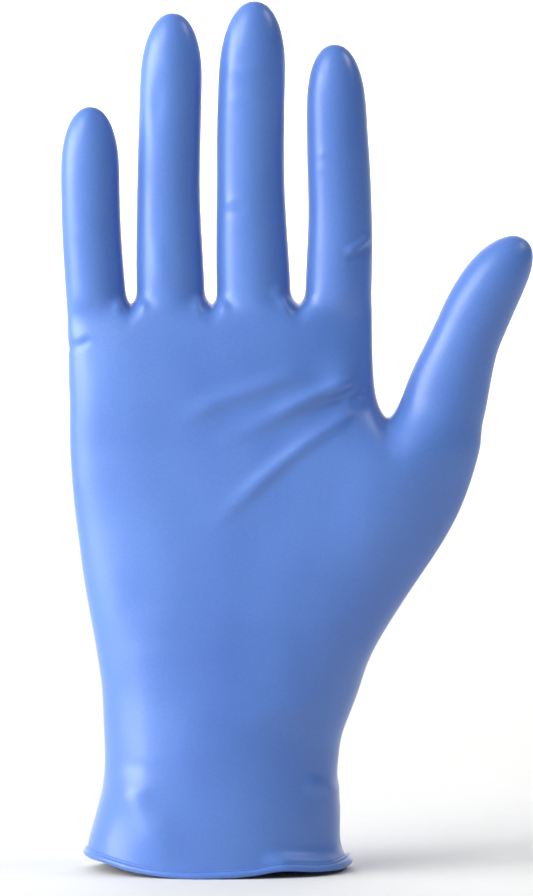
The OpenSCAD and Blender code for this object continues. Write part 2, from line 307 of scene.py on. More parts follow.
@dataclass(frozen=True)
class PaperFinish:
    """Matt paper of the studio floor, with a faint tooth."""

    name: str = "pale_paper"
    dark: Colour = (0.725, 0.725, 0.717)
    light: Colour = (0.755, 0.755, 0.747)
    tooth_scale: float = 300
    roughness: float = 0.9
    specular: float = 0.1

    def build(self) -> bpy.types.Material:
        """Make the paper's material.

        Returns:
            The finished material.
        """
        made = MaterialNodes(self.name)
        made.set("Roughness", self.roughness)
        made.set("Specular IOR Level", self.specular)
        tooth = made.noise(self.tooth_scale, detail=2)
        made.feed("Base Color", made.mix(self.dark, self.light, tooth))
        return made.material


# ---- The coarse film ----


@dataclass
class FilmCage:
    """Coarse quads of the film, row by row, each with the number of its piece."""

    points: list[np.ndarray] = field(default_factory=list)
    quads: list[tuple[int, ...]] = field(default_factory=list)
    parts: list[int] = field(default_factory=list)

    def row(self, points: np.ndarray) -> Row:
        """Add a row of points.

        Args:
            points: The points, in order round the row.

        Returns:
            Their numbers.
        """
        first = len(self.points)
        self.points.extend(np.asarray(points, float))
        return list(range(first, first + len(points)))

    def band(self, low: Row, high: Row, part: int) -> None:
        """Join two closed rows with quads.

        Args:
            low: The row nearer the cuff.
            high: The row above it, with as many points.
            part: Number of the piece that the quads belong to.
        """
        for i in range(len(low)):
            j = (i + 1) % len(low)
            self.quads.append((low[i], low[j], high[j], high[i]))
            self.parts.append(part)

    def climb(self, low: Row, points: np.ndarray, part: int, spacing: float = ROW_SPACING) -> Row:
        """Join a row to a farther one through evenly spaced rows between them.

        Args:
            low: The row to start from.
            points: Points of the farther row.
            part: Number of the piece that the quads belong to.
            spacing: Rough distance between rows, or infinite for none between them.

        Returns:
            The farther row.
        """
        start = np.array([self.points[k] for k in low])
        reach = float(np.linalg.norm(points - start, axis=1).mean())
        for share in steps(0, 1, max(1, round(reach / spacing)))[1:] + [1.0]:
            high = self.row(start + (points - start) * share)
            self.band(low, high, part)
            low = high
        return low

    def cap(self, ring: Row, inside: list[Row], part: int) -> None:
        """Close a ring with a square grid of quads.

        Args:
            ring: The ring's points, whose first one is a corner of the grid.
            inside: Rows of the grid's inner points.
            part: Number of the piece that the quads belong to.
        """
        side = len(ring) // 4
        grid = [[0] * (side + 1) for _ in range(side + 1)]
        for k in range(side):
            grid[0][k] = ring[k]
            grid[k][side] = ring[side + k]
            grid[side][side - k] = ring[2 * side + k]
            grid[side - k][0] = ring[3 * side + k]
        for i, row in enumerate(inside):
            grid[i + 1][1:side] = row
        for i in range(side):
            for j in range(side):
                self.quads.append((grid[i][j], grid[i][j + 1], grid[i + 1][j + 1], grid[i + 1][j]))
                self.parts.append(part)


@dataclass(frozen=True)
class Section:
    """Level section of the hand: its height, side edges and depths to palm and back."""

    z: float
    left: float
    right: float
    front: float
    back: float

    def point(self, angle: float, oval: float) -> np.ndarray:
        """Point of the section's rounded outline.

        Args:
            angle: Angle in degrees, 0 towards the thumb and -90 on the palm side.
            oval: 1 for an ellipse, less for squarer corners.

        Returns:
            The point.
        """
        turn = math.radians(angle)
        across = float(power(math.cos(turn), oval))
        depth = self.front if math.sin(turn) < 0 else self.back
        middle, half = (self.left + self.right) / 2, (self.right - self.left) / 2
        return np.array([middle + half * across, depth * power(math.sin(turn), oval), self.z])

    def angle_at(self, x: float, oval: float) -> float:
        """Angle at which the outline reaches a place across the hand.

        Args:
            x: The place.
            oval: Squareness of the outline, as for a point.

        Returns:
            The angle in degrees, on the back's side.
        """
        middle, half = (self.left + self.right) / 2, (self.right - self.left) / 2
        across = min(1.0, max(-1.0, (x - middle) / half))
        return math.degrees(math.acos(power(across, 1 / oval)))

    def row(self, angles: list[float], oval: float) -> np.ndarray:
        """Points of the outline at some angles."""
        return np.array([self.point(angle, oval) for angle in angles])


def arch(foot_a: np.ndarray, foot_b: np.ndarray, top: float) -> np.ndarray:
    """Arch a row over a web or the thumb's crotch.

    Args:
        foot_a: Point that the arch starts from.
        foot_b: Point that it ends at.
        top: Height of its middle.

    Returns:
        The row's points, without the two feet.
    """
    points = []
    for share in steps(0, 1, WEB_STEPS)[1:]:
        foot = foot_a + (foot_b - foot_a) * share
        foot[2] += (top - foot[2]) * math.sin(math.pi * share)
        points.append(foot)
    return np.array(points)


# ---- Stalls ----


@dataclass
class Stall:
    """A finger or thumb of the film: a stall that tapers to a rounded tip.

    Widths and depths are halves, at the root, halfway and below the tip, and the
    shares are how far along the stall the last two are. The line is the stall's
    middle line, from its root to its tip. Cuts are distances along it at which the
    film's pieces meet, and zones are stretches of it whose ends are given to the
    pieces as their start and end.
    """

    name: str
    line: tuple[Place, ...]
    widths: tuple[float, float, float]
    depths: tuple[float, float, float]
    cuts: tuple[float, ...]
    zones: tuple[tuple[float, float], ...]
    first_angle: float = 210
    halfway_share: float = 0.45
    narrow_share: float = 0.8
    tip_reach: float = 2.25
    tip_round: float = 2.15
    tip_turns: tuple[float, ...] = (12, 22, 32, 42, 51, 60, 68)
    root_spacing: float = ROW_SPACING
    spacing: float = 3.4

    def __post_init__(self) -> None:
        """Measure the middle line."""
        self._curve = curve_through(np.array(self.line), per_span=12)
        spans = np.linalg.norm(np.diff(self._curve, axis=0), axis=1)
        self._along = np.concatenate([[0], np.cumsum(spans)])
        self.length = float(self._along[-1])
        self.dome = self.tip_reach * self.widths[2]

    def centre(self, along: float) -> np.ndarray:
        """Point of the middle line at a distance from the root."""
        return np.array([np.interp(along, self._along, self._curve[:, k]) for k in range(3)])

    def direction(self, along: float) -> np.ndarray:
        """Find the direction of the middle line.

        Args:
            along: Distance from the root.

        Returns:
            The direction, from a little below to a little above.
        """
        near = 2.0
        low, high = max(0.0, along - near), min(self.length, along + near)
        way = self.centre(high) - self.centre(low)
        return way / np.linalg.norm(way)

    def half_size(self, along: float) -> tuple[float, float]:
        """Half width and half depth before the tip rounds off."""
        return self._eased(self.widths, along), self._eased(self.depths, along)

    def _eased(self, sizes: tuple[float, float, float], along: float) -> float:
        """Ease a size along the stall.

        Args:
            sizes: The size at the root, halfway and below the tip.
            along: Distance from the root.

        Returns:
            The size there.
        """
        halfway, narrow = self.halfway_share * self.length, self.narrow_share * self.length
        if along < halfway:
            return sizes[0] + (sizes[1] - sizes[0]) * float(smooth(along / halfway))
        share = float(smooth((along - halfway) / (narrow - halfway)))
        return sizes[1] + (sizes[2] - sizes[1]) * share

    def ring(self, along: float, share: float = 1.0) -> np.ndarray:
        """Points round the stall.

        Args:
            along: Distance from the root.
            share: Share of the full width, below 1 on the rounded tip.

        Returns:
            One point per column.
        """
        width, depth = self.half_size(along)
        centre, up = self.centre(along), self.direction(along)
        across = np.array([up[2], 0.0, -up[0]])
        turns = np.radians(self.first_angle + np.arange(FINGER_COLUMNS) * 360 / FINGER_COLUMNS)
        size = share / RING_SHRINK
        return (centre + np.outer(np.cos(turns) * width * size, across)
                + np.outer(np.sin(turns) * depth * size, [0, 1, 0]))

    def tip_station(self, turn: float) -> tuple[float, float]:
        """Place a ring on the rounded tip.

        Args:
            turn: Angle in degrees, 0 where the tip starts and 90 at its end.

        Returns:
            The ring's distance along the stall and its share of the width.
        """
        bend = math.radians(turn)
        along = self.length - self.dome * (1 - math.sin(bend) ** (2 / self.tip_round))
        return along, math.cos(bend) ** (2 / self.tip_round)

    def stations(self) -> list[tuple[float, float]]:
        """Place the stall's rings, from its root to its cap.

        Returns:
            Each ring's distance along the stall and its share of the width.
        """
        straight = self.length - self.dome
        ends = [0.0, *self.cuts, straight]
        places: list[tuple[float, float]] = []
        for low, high in zip(ends, ends[1:]):
            count = max(1, round((high - low) / self.spacing))
            places += [(place, 1.0) for place in steps(low, high, count)]
        places.append((straight, 1.0))
        return places + [self.tip_station(turn) for turn in self.tip_turns]

    def build(self, cage: FilmCage, start: Row, parts: list[int]) -> None:
        """Add the stall to the film.

        Args:
            cage: The film.
            start: Row of the palm that the stall rises from.
            parts: Numbers of the palm's piece and of the stall's own pieces in order.
        """
        (first, whole), *others = self.stations()
        low = cage.climb(start, self.ring(first, whole), parts[0], self.root_spacing)
        passed = first
        for along, share in others:
            part = parts[1 + sum(passed >= cut for cut in self.cuts)]
            low = cage.climb(low, self.ring(along, share), part, math.inf)
            passed = along
        self._close(cage, low, parts[-1])

    def _close(self, cage: FilmCage, ring: Row, part: int) -> None:
        """Close the tip with a domed grid over its last ring.

        Args:
            cage: The film.
            ring: The last ring.
            part: Number of the piece that the grid belongs to.
        """
        _, edge = self.tip_station(self.tip_turns[-1])
        side = FINGER_COLUMNS // 4
        column = 360 / FINGER_COLUMNS
        corner = next(k for k in range(side)
                      if round(self.first_angle + k * column - 45) % 90 == 0)
        turned = ring[corner:] + ring[:corner]
        grid = self._grid(turned, cage, side)
        inside = []
        for i in range(1, side):
            row = []
            for j in range(1, side):
                flat, reach = grid[i][j]
                share = edge * reach
                rise = (1 - share ** self.tip_round) ** (1 / self.tip_round)
                along = self.length - self.dome * (1 - rise)
                row.append(self.centre(along) + flat * reach)
            inside.append(cage.row(np.array(row)))
        cage.cap(turned, inside, part)

    def _grid(self, ring: Row, cage: FilmCage, side: int) -> list[list[tuple[np.ndarray, float]]]:
        """Spread a square grid over a ring.

        Args:
            ring: The ring, from a corner of the grid.
            cage: The film.
            side: Quads along each side of the grid.

        Returns:
            For each point, the way from the middle line out to the ring and the
            share of it that the point lies at.
        """
        middle = np.mean([cage.points[k] for k in ring], axis=0)
        offsets = [cage.points[k] - middle for k in ring]
        first_corner = -0.75 * math.pi
        grid = []
        for i in range(side + 1):
            row = []
            for j in range(side + 1):
                u, v = 2 * j / side - 1, 2 * i / side - 1
                x = u * math.sqrt(1 - v * v / 2)
                y = v * math.sqrt(1 - u * u / 2)
                reach = min(1.0, math.hypot(x, y))
                turn = (math.atan2(y, x) - first_corner) % (2 * math.pi)
                place = turn / (2 * math.pi) * 4 * side
                k = int(place) % (4 * side)
                share = place - int(place)
                way = offsets[k] * (1 - share) + offsets[(k + 1) % (4 * side)] * share
                row.append((way, reach))
            grid.append(row)
        return grid


# ---- Palm, wrist and cuff ----


@dataclass
class Hand:
    """The film from the cuff's mouth to the finger webs and the thumb's crotch.

    The sections reach up to the crotch and the knuckles go on to the webs, whose
    places across the hand are given. The rim's reach is how far up the cuff its
    waves die away.
    """

    sections: tuple[Section, ...]
    knuckles: tuple[Section, ...]
    webs: tuple[float, float, float]
    web_top: float
    crotch_x: float
    crotch_top: float
    cuff_top: float
    wrist_top: float
    oval: float = 0.86
    cuff_oval: float = 0.94
    rim_reach: float = 14
    spacing: float = 3.6

    def __post_init__(self) -> None:
        """Work out the columns of the rows below the webs and below the crotch."""
        top = self.knuckles[-1]
        at = [top.angle_at(x, self.oval) for x in self.webs]
        self.knuckle_angles = (
            steps(-at[0], -at[1], SIDE_STEPS) + steps(-at[1], -at[2], SIDE_STEPS)
            + steps(-at[2], at[2], END_STEPS)
            + steps(at[2], at[1], SIDE_STEPS) + steps(at[1], at[0], SIDE_STEPS)
            + steps(at[0], 360 - at[0], END_STEPS)
        )
        self.front = (0, SIDE_STEPS, 2 * SIDE_STEPS)
        self.back = tuple(4 * SIDE_STEPS + END_STEPS - k * SIDE_STEPS for k in range(3))
        self.crotch_first = 2 * SIDE_STEPS + (END_STEPS - WEB_STEPS) // 2
        low = self.sections[-1]
        front = [low.angle_at(self._front_x(k), self.oval) for k in range(self.crotch_first)]
        crotch = low.angle_at(self.crotch_x, self.oval)
        behind = [crotch] + front[:0:-1]
        self.palm_angles = (
            [-angle for angle in front] + steps(-crotch, crotch, END_STEPS)
            + behind + steps(front[0], 360 - front[0], END_STEPS)
        )

    def _front_x(self, column: int) -> float:
        """Place a column of the palm side across the hand, at the crotch.

        Args:
            column: Number of the column.

        Returns:
            The place.
        """
        last = 2 * SIDE_STEPS
        if column <= last:
            return float(self.knuckles[-1].point(self.knuckle_angles[column], self.oval)[0])
        share = (column - last) / (self.crotch_first - last)
        return self.webs[2] + (self.crotch_x - self.webs[2]) * share

    def section_at(self, z: float) -> Section:
        """Draw the section at a height, on smooth curves through the given ones.

        Args:
            z: The height.

        Returns:
            The section.
        """
        given = np.array([(s.z, s.left, s.right, s.front, s.back) for s in self.sections])
        drawn = curve_through(given, per_span=10)
        return Section(z, *(float(np.interp(z, drawn[:, 0], sizes)) for sizes in drawn.T[1:]))

    def heights(self) -> list[tuple[float, int]]:
        """Place the rows up to the crotch.

        Returns:
            Each row's height and the number of the piece that starts at it.
        """
        ends = (self.sections[0].z, self.cuff_top, self.wrist_top, self.sections[-1].z)
        rows: list[tuple[float, int]] = []
        for part, (low, high) in enumerate(zip(ends, ends[1:])):
            rows += [(z, part) for z in steps(low, high, round((high - low) / self.spacing))]
        return rows + [(ends[-1], PALM_PART)]

    def squareness(self, z: float) -> float:
        """Corner squareness of the section at a height."""
        share = float(smooth((z - self.cuff_top) / (self.wrist_top - self.cuff_top)))
        return self.cuff_oval + (self.oval - self.cuff_oval) * share

    def build(self, cage: FilmCage, rim: "Rim") -> dict[str, Row]:
        """Add the hand's rows to the film.

        Args:
            cage: The film.
            rim: The rolled rim, whose waves the cuff's lower edge follows.

        Returns:
            The rows that the fingers and the thumb start from, by name.
        """
        last: Row = []
        part_below = 0
        for z, part in self.heights():
            points = self.section_at(z).row(self.palm_angles, self.squareness(z))
            near = 1 - smooth((z - self.sections[0].z) / self.rim_reach)
            points[:, 2] += [rim.lift(angle) * near for angle in self.palm_angles]
            row = cage.row(points)
            if last:
                cage.band(last, row, part_below)
            last, part_below = row, part
        return self._knuckle_rows(cage, last)

    def _knuckle_rows(self, cage: FilmCage, crotch: Row) -> dict[str, Row]:
        """Add the rows above the thumb's crotch.

        Args:
            cage: The film.
            crotch: The row at the crotch.

        Returns:
            The rows that the fingers and the thumb start from, by name.
        """
        first, last = self.crotch_first, self.crotch_first + END_STEPS
        over = cage.row(arch(cage.points[crotch[first]], cage.points[crotch[last]], self.crotch_top))
        starts = {"thumb": crotch[first:last + 1] + over[::-1]}
        low = crotch[:first + 1] + over + crotch[last:]
        for k, section in enumerate(self.knuckles):
            spacing = ROW_SPACING if k else CROTCH_SPACING
            points = section.row(self.knuckle_angles, self.oval)
            low = cage.climb(low, points, PALM_PART, spacing)
        webs = [cage.row(arch(cage.points[low[a]], cage.points[low[b]], self.web_top))
                for a, b in zip(self.front, self.back)]
        front, back = self.front, self.back
        starts["little"] = low[back[0]:] + [low[0]] + webs[0]
        for k, name in enumerate(("ring", "middle")):
            starts[name] = (low[front[k]:front[k + 1] + 1] + webs[k + 1]
                            + low[back[k + 1]:back[k] + 1] + webs[k][::-1])
        starts["index"] = low[front[2]:back[2] + 1] + webs[2][::-1]
        return starts


@dataclass
class Rim:
    """The rolled rim: a bead with a thin lip above it, which rises at both ends.

    Each wave is an angle round the mouth in degrees, 0 at the thumb's end and 270
    on the palm side, and how far the rim is off the floor there. The radius is the
    roll's, the lip is half the lip's thickness, its middle lies a little outside the
    film's edge, and the drop is how far the roll's middle lies below that edge. The
    groove is how far the line between roll and lip is cut in. The curl is how much
    thicker the roll is at the thumb's end. Each ripple is a share of the roll's size,
    how often it comes round the mouth and where it starts.
    """

    waves: tuple[tuple[float, float], ...]
    radius: float = 0.95
    lip: float = 0.27
    lip_outside: float = 0.12
    groove: float = 0.05
    drop: float = 0.2
    curl: float = 0.5
    curl_at: float = -0.1
    curl_reach: float = 0.5
    ripples: tuple[tuple[float, float, float], ...] = ((0.035, 7, 1), (0.03, 17, 0))

    def __post_init__(self) -> None:
        """Draw the waves as one smooth closed curve of angle and lift."""
        given = np.array(self.waves)
        again = [given - (360, 0), given, given + (360, 0)]
        self._waves = curve_through(np.vstack(again))

    def lift(self, angle: float) -> float:
        """Height of the rim off the floor at an angle round the mouth."""
        return float(np.interp(angle % 360, self._waves[:, 0], self._waves[:, 1]))

    def outline(self) -> np.ndarray:
        """Draw the rim's section about the film's edge.

        Returns:
            Its points, outward and up.
        """
        roll_turns = np.radians(np.arange(120, 411, 15))
        lip_turns = np.radians(np.arange(-30, 181, 30))
        roll = [(math.cos(turn) * self.radius, math.sin(turn) * self.radius - self.drop)
                for turn in roll_turns]
        groove = [(self.lip - self.groove, self.radius - self.drop)]
        lip = [(math.cos(turn) * self.lip + self.lip_outside,
                math.sin(turn) * self.lip + self.radius) for turn in lip_turns]
        return np.array(roll + groove + lip)

    def build(self, name: str, edge: np.ndarray, material: bpy.types.Material) -> bpy.types.Object:
        """Sweep the rim along the film's lower edge.

        Args:
            name: Name of the piece.
            edge: Points of the film's edge in order.
            material: The rim's finish.

        Returns:
            The rim.
        """
        ahead = np.roll(edge, -1, axis=0) - np.roll(edge, 1, axis=0)
        ahead /= np.linalg.norm(ahead, axis=1)[:, None]
        outward = np.cross(ahead, [0, 0, 1.0])
        outward /= np.linalg.norm(outward, axis=1)[:, None]
        outline = self.outline()
        count = len(outline)
        around = np.arctan2(edge[:, 1], edge[:, 0])
        full = 1 + self.curl * hump(around, self.curl_at, self.curl_reach)
        for share, times, start in self.ripples:
            full += share * np.sin(times * around + start)
        points = (edge[:, None, :]
                  + outward[:, None, :] * (outline[None, :, :1] * full[:, None, None])
                  + np.array([0, 0, 1.0]) * (outline[None, :, 1:] * full[:, None, None]))
        points[:, :, 2] = np.maximum(points[:, :, 2], 0.0)
        quads = []
        for i in range(len(edge)):
            j = (i + 1) % len(edge)
            for k in range(count):
                m = (k + 1) % count
                quads.append((i * count + k, j * count + k, j * count + m, i * count + m))
        mesh = bpy.data.meshes.new(name)
        mesh.from_pydata((points.reshape(-1, 3) * MM).tolist(), [], quads)
        mesh.shade_smooth()
        mesh.materials.append(material)
        rim = bpy.data.objects.new(name, mesh)
        bpy.context.scene.collection.objects.link(rim)
        return subdivided(rim, Smoothness.RIM)


# ---- Folds, swells and slack ----


def facing(normals: np.ndarray, side: Side | None) -> np.ndarray:
    """Weigh how much each point faces a side of the hand.

    Args:
        normals: Outward direction at each point.
        side: The side, or none for all round.

    Returns:
        A weight from 0 to 1 for each point.
    """
    if side is None:
        return np.ones(len(normals))
    squarely = 0.4
    return smooth(normals[:, 1] * side.value / squarely)


@dataclass(frozen=True)
class Fold:
    """A soft ridge, or a groove where its height is below 0, along a line.

    The line's points are across and up the hand. The steep share narrows the fold
    on the side to the right of its line's direction. The fold's width may change
    from one end to the other.
    """

    line: tuple[tuple[float, float], ...]
    height: float
    width: float
    end_width: float | None = None
    side: Side | None = Side.PALM
    steep: float = 1.0
    fade_in: float = 0.25
    fade_out: float = 0.4

    def lift(self, points: np.ndarray, normals: np.ndarray) -> np.ndarray:
        """Work out how far the film shifts outward.

        Args:
            points: Points of the film.
            normals: Outward direction at each point.

        Returns:
            The shift of each point.
        """
        line = curve_through(np.array(self.line, float), per_span=6)
        place = points[:, [0, 2]]
        near = np.full(len(points), np.inf)
        along = np.zeros(len(points))
        beside = np.zeros(len(points))
        spans = len(line) - 1
        for k, (a, b) in enumerate(zip(line, line[1:])):
            way = b - a
            share = np.clip((place - a) @ way / (way @ way), 0, 1)
            off = place - (a + share[:, None] * way)
            distance = np.hypot(off[:, 0], off[:, 1])
            closer = distance < near
            near[closer] = distance[closer]
            along[closer] = ((k + share) / spans)[closer]
            beside[closer] = (way[0] * off[:, 1] - way[1] * off[:, 0])[closer]
        last_width = self.width if self.end_width is None else self.end_width
        width = self.width + (last_width - self.width) * along
        width = np.where(beside < 0, width * self.steep, width)
        ends = smooth(along / self.fade_in) * smooth((1 - along) / self.fade_out)
        return self.height * np.exp(-(near / width) ** 2) * ends * facing(normals, self.side)


@dataclass(frozen=True)
class Swell:
    """A broad rise, or a hollow where its height is below 0, about a point."""

    at: tuple[float, float]
    reach: tuple[float, float]
    height: float
    side: Side | None = Side.PALM

    def lift(self, points: np.ndarray, normals: np.ndarray) -> np.ndarray:
        """Work out how far the film shifts outward.

        Args:
            points: Points of the film.
            normals: Outward direction at each point.

        Returns:
            The shift of each point.
        """
        across = (points[:, 0] - self.at[0]) / self.reach[0]
        up = (points[:, 2] - self.at[1]) / self.reach[1]
        return self.height * np.exp(-(across ** 2 + up ** 2)) * facing(normals, self.side)


@dataclass(frozen=True)
class Slack:
    """Faint unevenness of loose film between two heights.

    It is a sum of waves, no shorter than the lengths across, through and up the
    hand, and it fades over a short way at the two heights.
    """

    height: float
    length: tuple[float, float, float]
    low: float
    high: float
    seed: int
    waves: int = 7
    fade: float = 12

    def lift(self, points: np.ndarray, normals: np.ndarray) -> np.ndarray:
        """Work out how far the film shifts outward.

        Args:
            points: Points of the film.
            normals: Outward direction at each point.

        Returns:
            The shift of each point.
        """
        chance = np.random.default_rng(self.seed)
        total = np.zeros(len(points))
        for _ in range(self.waves):
            way = chance.uniform(-1, 1, 3) * 2 * math.pi / np.array(self.length)
            total += np.sin(points @ way + chance.uniform(0, 2 * math.pi))
        up = points[:, 2]
        level = smooth((up - self.low) / self.fade) * smooth((self.high - up) / self.fade)
        return self.height * total / math.sqrt(self.waves) * level


Mark = Fold | Swell | Slack


# ---- The smoothed film and its pieces ----


def subdivided(piece: bpy.types.Object, smoothness: Smoothness) -> bpy.types.Object:
    """Subdivide a piece.

    Args:
        piece: The piece, whose coarse mesh is replaced.
        smoothness: How finely it is subdivided.

    Returns:
        The same piece.
    """
    rounding = piece.modifiers.new("rounding", "SUBSURF")
    rounding.levels = rounding.render_levels = smoothness.value
    graph = bpy.context.evaluated_depsgraph_get()
    finished = bpy.data.meshes.new_from_object(piece.evaluated_get(graph))
    piece.modifiers.clear()
    rough, piece.data = piece.data, finished
    finished.name = rough.name + "_smooth"
    bpy.data.meshes.remove(rough)
    return piece


@dataclass
class Film:
    """The smoothed film: points in millimetres, quads, and the piece of each quad."""

    points: np.ndarray
    quads: np.ndarray
    parts: np.ndarray
    thickness: float = 0.1

    @classmethod
    def from_cage(cls, cage: FilmCage) -> "Film":
        """Smooth a coarse film.

        Args:
            cage: The coarse film.

        Returns:
            The smoothed one.
        """
        mesh = bpy.data.meshes.new("film_cage")
        mesh.from_pydata([tuple(p) for p in cage.points], [], cage.quads)
        mesh.polygons.foreach_set("material_index", np.array(cage.parts, np.int32))
        holder = bpy.data.objects.new("film_cage", mesh)
        bpy.context.scene.collection.objects.link(holder)
        for _ in range(max(cage.parts) + 1):
            mesh.materials.append(None)
        subdivided(holder, Smoothness.FILM)
        fine = holder.data
        points = np.zeros(len(fine.vertices) * 3)
        fine.vertices.foreach_get("co", points)
        quads = np.zeros(len(fine.polygons) * 4, np.int32)
        fine.polygons.foreach_get("vertices", quads)
        parts = np.zeros(len(fine.polygons), np.int32)
        fine.polygons.foreach_get("material_index", parts)
        bpy.data.objects.remove(holder)
        return cls(points.reshape(-1, 3), quads.reshape(-1, 4), parts)

    def normals(self) -> np.ndarray:
        """Average the quads about each point.

        Returns:
            The outward direction at each point.
        """
        a, b, c, d = (self.points[self.quads[:, k]] for k in range(4))
        face = np.cross(c - a, d - b)
        total = np.zeros_like(self.points)
        for k in range(4):
            np.add.at(total, self.quads[:, k], face)
        return total / np.linalg.norm(total, axis=1)[:, None]

    def shape(self, marks: list[Mark]) -> None:
        """Shift the film outward or inward by each mark in turn.

        Args:
            marks: The folds, swells and slack.
        """
        for mark in marks:
            normals = self.normals()
            self.points += normals * mark.lift(self.points, normals)[:, None]

    def relax(self, at: tuple[float, float], reach: float, rounds: int) -> None:
        """Even out the film about a place.

        Args:
            at: The place, across and up the hand.
            reach: How far from it the film is evened out.
            rounds: How many times each point moves up to halfway to the middle of
                its neighbours.
        """
        least = 0.02
        off = self.points[:, [0, 2]] - np.array(at)
        share = np.exp(-((off / reach) ** 2).sum(axis=1))
        quads = self.quads[share[self.quads].max(axis=1) > least]
        share[share <= least] = 0
        ends = np.vstack([quads[:, [k, (k + 1) % 4]] for k in range(4)])
        ends = np.unique(np.vstack([ends, ends[:, ::-1]]), axis=0)
        count = np.maximum(np.bincount(ends[:, 0], minlength=len(self.points)), 1)[:, None]
        for _ in range(rounds):
            total = np.zeros_like(self.points)
            np.add.at(total, ends[:, 0], self.points[ends[:, 1]])
            self.points += 0.5 * share[:, None] * (total / count - self.points)

    def lower_edge(self) -> np.ndarray:
        """Follow the open edge at the cuff's mouth.

        Returns:
            Its points in order.
        """
        follows = self._open_edges(self.quads)
        first = min(follows)
        loop = [first]
        while follows[loop[-1]] != first:
            loop.append(follows[loop[-1]])
        return self.points[loop]

    @staticmethod
    def _open_edges(quads: np.ndarray) -> dict[int, int]:
        """Start and end of each edge that only one quad has."""
        edges = {(int(q[k]), int(q[(k + 1) % 4])) for q in quads for k in range(4)}
        return {a: b for a, b in edges if (b, a) not in edges}

    def piece(self, name: str, part: int, material: bpy.types.Material) -> bpy.types.Object:
        """Make one piece of the film, with both skins and closed cut edges.

        Args:
            name: Name of the piece.
            part: Its number.
            material: The film's finish.

        Returns:
            The piece.
        """
        quads = self.quads[self.parts == part]
        used, flat = np.unique(quads, return_inverse=True)
        outer_quads = flat.reshape(-1, 4)
        count = len(used)
        normals = self.normals()[used]
        outer = self.points[used]
        inner = outer - normals * self.thickness
        walls = [(b, a, a + count, b + count) for a, b in self._open_edges(outer_quads).items()]
        faces = outer_quads.tolist() + (outer_quads[:, ::-1] + count).tolist() + walls
        mesh = bpy.data.meshes.new(name)
        mesh.from_pydata((np.vstack([outer, inner]) * MM).tolist(), [], faces)
        mesh.shade_smooth()
        mesh.normals_split_custom_set_from_vertices(np.vstack([normals, -normals]).tolist())
        mesh.materials.append(material)
        made = bpy.data.objects.new(name, mesh)
        bpy.context.scene.collection.objects.link(made)
        return made


# ---- Pieces on the glove's bodies ----


@dataclass(frozen=True)
class Piece:
    """One piece of film, which rides on a body or spans two bodies.

    Its start and its end are stored but not used.
    """

    name: str
    nodes: tuple[str, ...]
    bodies: tuple[str, ...]
    start: Place = (0, 0, 0)
    end: Place = (0, 0, 0)
    slot: str = "film"

    def dress(self, made: bpy.types.Object) -> None:
        """Fasten a mesh to the piece's body, or fix it in place if it spans two, and hide the parts
        of its nodes.

        Args:
            made: The mesh.
        """
        if len(self.bodies) == 1:
            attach(made, self.bodies[0])
        else:
            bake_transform(made)
        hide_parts(*self.nodes)
        LOG.info("%s: %d faces on %s", self.name, len(made.data.polygons), " to ".join(self.bodies))


@dataclass
class Glove:
    """The whole glove: its film, from the cuff to the five stalls, and its rim.

    The wrist's film is given a start and an end a margin inside either end of its height.
    """

    hand: Hand
    rim: Rim
    stalls: tuple[Stall, ...]
    marks: list[Mark]
    film_finish: NitrileFinish
    rim_finish: NitrileFinish
    wrist_margin: float = 3

    def pieces(self) -> list[Piece]:
        """List the pieces of film.

        Returns:
            The pieces, in the order of the film's part numbers.
        """
        low = self.hand.cuff_top + self.wrist_margin
        high = self.hand.wrist_top - self.wrist_margin
        made = [
            Piece("cuff_film", ("cuff",), ("cuff",)),
            Piece("wrist_film", ("wrist_film",), ("cuff", "palm"), (0, 0, low), (0, 0, high)),
            Piece("palm_film", ("palm",), ("palm",)),
        ]
        for stall in self.stalls:
            made += stall_pieces(stall)
        return made

    def build(self) -> None:
        """Build the film as one skin, fold it, divide it and add the rim."""
        film = Film.from_cage(self._cage())
        # Rows that run different ways meet at the crotch and the webs and pinch the film
        film.relax((self.hand.crotch_x + 2, self.hand.crotch_top - 1), reach=9.0, rounds=30)
        for web in self.hand.webs:
            film.relax((web, self.hand.web_top - 1), reach=4.5, rounds=14)
        film.shape(self.marks)
        finish = self.film_finish.build()
        for part, piece in enumerate(self.pieces()):
            piece.dress(film.piece(piece.name, part, finish))
        rolled = self.rim.build("rolled_rim", film.lower_edge(), self.rim_finish.build())
        Piece("rolled_rim", ("cuff_rim",), ("cuff",), slot="rim").dress(rolled)

    def _cage(self) -> FilmCage:
        """Join the hand and the stalls in one coarse film.

        Returns:
            The coarse film.
        """
        cage = FilmCage()
        starts = self.hand.build(cage, self.rim)
        first = FIRST_STALL_PART
        for stall in self.stalls:
            count = len(stall.cuts) + 1
            stall.build(cage, starts[stall.name], [PALM_PART, *range(first, first + count)])
            first += count
        return cage


def stall_pieces(stall: Stall) -> list[Piece]:
    """Pieces of one stall, each of which spans one joint.

    Args:
        stall: The finger or thumb.

    Returns:
        Its pieces, from the root to the tip.
    """
    if stall.name == "thumb":
        bodies = ("palm", "thumb_base", "thumb_tip")
        names = ("thumb_base", "thumb_tip")
        nodes = (("thumb_root", "thumb_base"), ("thumb_joint", "thumb_tip"))
    else:
        bodies = ("palm", *(f"{stall.name}_{part}" for part in ("base", "middle", "tip")))
        names = tuple(f"{stall.name}_finger_{part}" for part in ("base", "knuckle", "tip"))
        pairs = (("root", "base"), ("knuckle", "middle"), ("joint", "tip"))
        nodes = tuple(tuple(f"{stall.name}_finger_{part}" for part in pair) for pair in pairs)
    return [
        Piece(f"{name}_film", own, pair, tuple(stall.centre(low)), tuple(stall.centre(high)))
        for name, own, pair, (low, high) in zip(names, nodes, zip(bodies, bodies[1:]), stall.zones)
    ]


# ---- Stage ----


